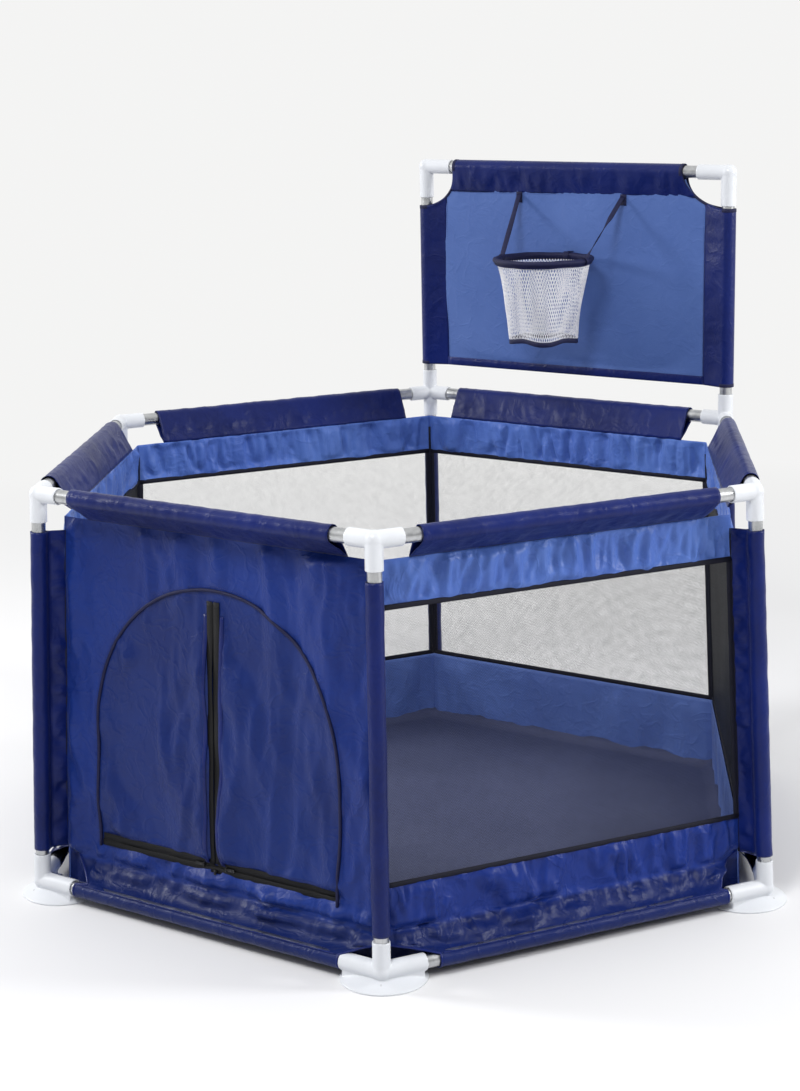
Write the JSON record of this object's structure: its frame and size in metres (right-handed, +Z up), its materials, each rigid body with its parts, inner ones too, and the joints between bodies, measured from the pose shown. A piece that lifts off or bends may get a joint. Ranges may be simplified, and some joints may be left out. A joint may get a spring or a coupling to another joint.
{
  "type": "play yard",
  "caption": "Six-sided push-fit tube play yard with a blue cloth cover, mesh windows, a zipped door and a lift-off hoop board.",
  "frame": {"origin": "on the floor under the middle of the six-sided yard", "axes": "+Z up, +Y towards the side that carries the hoop board, -Y towards the door side, +X through a corner post"},
  "size_m": [1.404, 1.2336, 1.1153],
  "materials": {
    "steel_tube": "plain drawn steel tube with a dull bright finish",
    "white_plastic": "injection-moulded white plastic, satin to gloss",
    "cover_fabric": "coated plain-weave polyester, royal blue, soft sheen, creased",
    "sleeve_fabric": "the same cloth doubled and pulled tight over a tube, so it looks darker",
    "board_fabric": "single layer of the blue cloth with light coming through it",
    "window_mesh": "open hexagonal polyester net",
    "mat_fabric": "grey-blue coated polyester floor",
    "net_yarn": "white knotless net",
    "webbing": "dark navy binding tape",
    "zip_metal": "black coated zip slider and pull"
  },
  "bodies": {
    "frame": {"post_tube_1": "steel_tube", "post_tube_2": "steel_tube", "post_tube_3": "steel_tube", "post_tube_4": "steel_tube", "post_tube_5": "steel_tube", "post_tube_6": "steel_tube", "top_rail_1": "steel_tube", "top_rail_2": "steel_tube", "top_rail_3": "steel_tube", "top_rail_4": "steel_tube", "top_rail_5": "steel_tube", "top_rail_6": "steel_tube", "bottom_rail_1": "steel_tube", "bottom_rail_2": "steel_tube", "bottom_rail_3": "steel_tube", "bottom_rail_4": "steel_tube", "bottom_rail_5": "steel_tube", "bottom_rail_6": "steel_tube", "top_connector_1": "white_plastic", "top_connector_2": "white_plastic", "top_connector_3": "white_plastic", "top_connector_4": "white_plastic", "top_connector_5": "white_plastic", "top_connector_6": "white_plastic", "foot_connector_1": "white_plastic", "foot_connector_2": "white_plastic", "foot_connector_3": "white_plastic", "foot_connector_4": "white_plastic", "foot_connector_5": "white_plastic", "foot_connector_6": "white_plastic", "wall_cloth_1": "cover_fabric", "wall_cloth_2": "cover_fabric", "wall_cloth_3": "cover_fabric", "wall_cloth_4": "cover_fabric", "wall_cloth_6": "cover_fabric", "door_wall": "cover_fabric", "mesh_window_1": "window_mesh", "mesh_window_2": "window_mesh", "mesh_window_3": "window_mesh", "mesh_window_4": "window_mesh", "mesh_window_6": "window_mesh", "corner_sleeves": "sleeve_fabric", "floor_mat": "mat_fabric"},
    "hoop_board": {"board_post_left": "steel_tube", "board_post_right": "steel_tube", "board_elbow_left": "white_plastic", "board_elbow_right": "white_plastic", "board_top_tube": "steel_tube", "board_cloth": "board_fabric", "hoop_straps": "webbing"},
    "hoop": {"hoop_ring": "webbing", "hoop_net": "net_yarn"},
    "flap_left": {"door_flap_left": "cover_fabric"},
    "flap_right": {"door_flap_right": "cover_fabric"},
    "slider_centre": {"zip_slider_centre": "zip_metal"},
    "pull_centre": {"zip_pull_centre": "zip_metal"},
    "slider_left": {"zip_slider_left": "zip_metal"},
    "pull_left": {"zip_pull_left": "zip_metal"},
    "slider_right": {"zip_slider_right": "zip_metal"},
    "pull_right": {"zip_pull_right": "zip_metal"}
  },
  "joints": [
    {"name": "board_lift", "type": "slide", "parent": "frame", "child": "hoop_board", "axis": [0, 0, 1], "range_m": [0, 0.06]},
    {"name": "hoop_fold", "type": "hinge", "parent": "hoop_board", "child": "hoop", "pos_m": [0, 0.53956, 0.945], "axis": [-1, 0, 0], "range_deg": [0, 80], "deforming": ["hoop_straps"]},
    {"name": "flap_left_fold", "type": "hinge", "parent": "frame", "child": "flap_left", "pos_m": [0, -0.52394, 0.52703], "axis": [-0.4894, -0.0356, -0.8714], "range_deg": [0, 140]},
    {"name": "flap_right_fold", "type": "hinge", "parent": "frame", "child": "flap_right", "pos_m": [0, -0.52394, 0.52703], "axis": [-0.4894, 0.0356, 0.8714], "range_deg": [0, 140]},
    {"name": "centre_zip", "type": "slide", "parent": "frame", "child": "slider_centre", "axis": [0, 0.0408, 0.9992], "range_m": [0, 0.436]},
    {"name": "left_zip", "type": "slide", "parent": "flap_left", "child": "slider_left", "axis": [-1, 0, 0], "range_m": [0, 0.18]},
    {"name": "right_zip", "type": "slide", "parent": "flap_right", "child": "slider_right", "axis": [1, 0, 0], "range_m": [0, 0.18]},
    {"name": "centre_pull_swing", "type": "hinge", "parent": "slider_centre", "child": "pull_centre", "pos_m": [0, -0.54646, 0.09824], "axis": [-1, 0, 0], "range_deg": [0, 150]},
    {"name": "left_pull_swing", "type": "hinge", "parent": "slider_left", "child": "pull_left", "pos_m": [-0.022, -0.54617, 0.10524], "axis": [0, 0.0408, 0.9992], "range_deg": [0, 150]},
    {"name": "right_pull_swing", "type": "hinge", "parent": "slider_right", "child": "pull_right", "pos_m": [0.022, -0.54617, 0.10524], "axis": [0, -0.0408, -0.9992], "range_deg": [0, 150]}
  ]
}
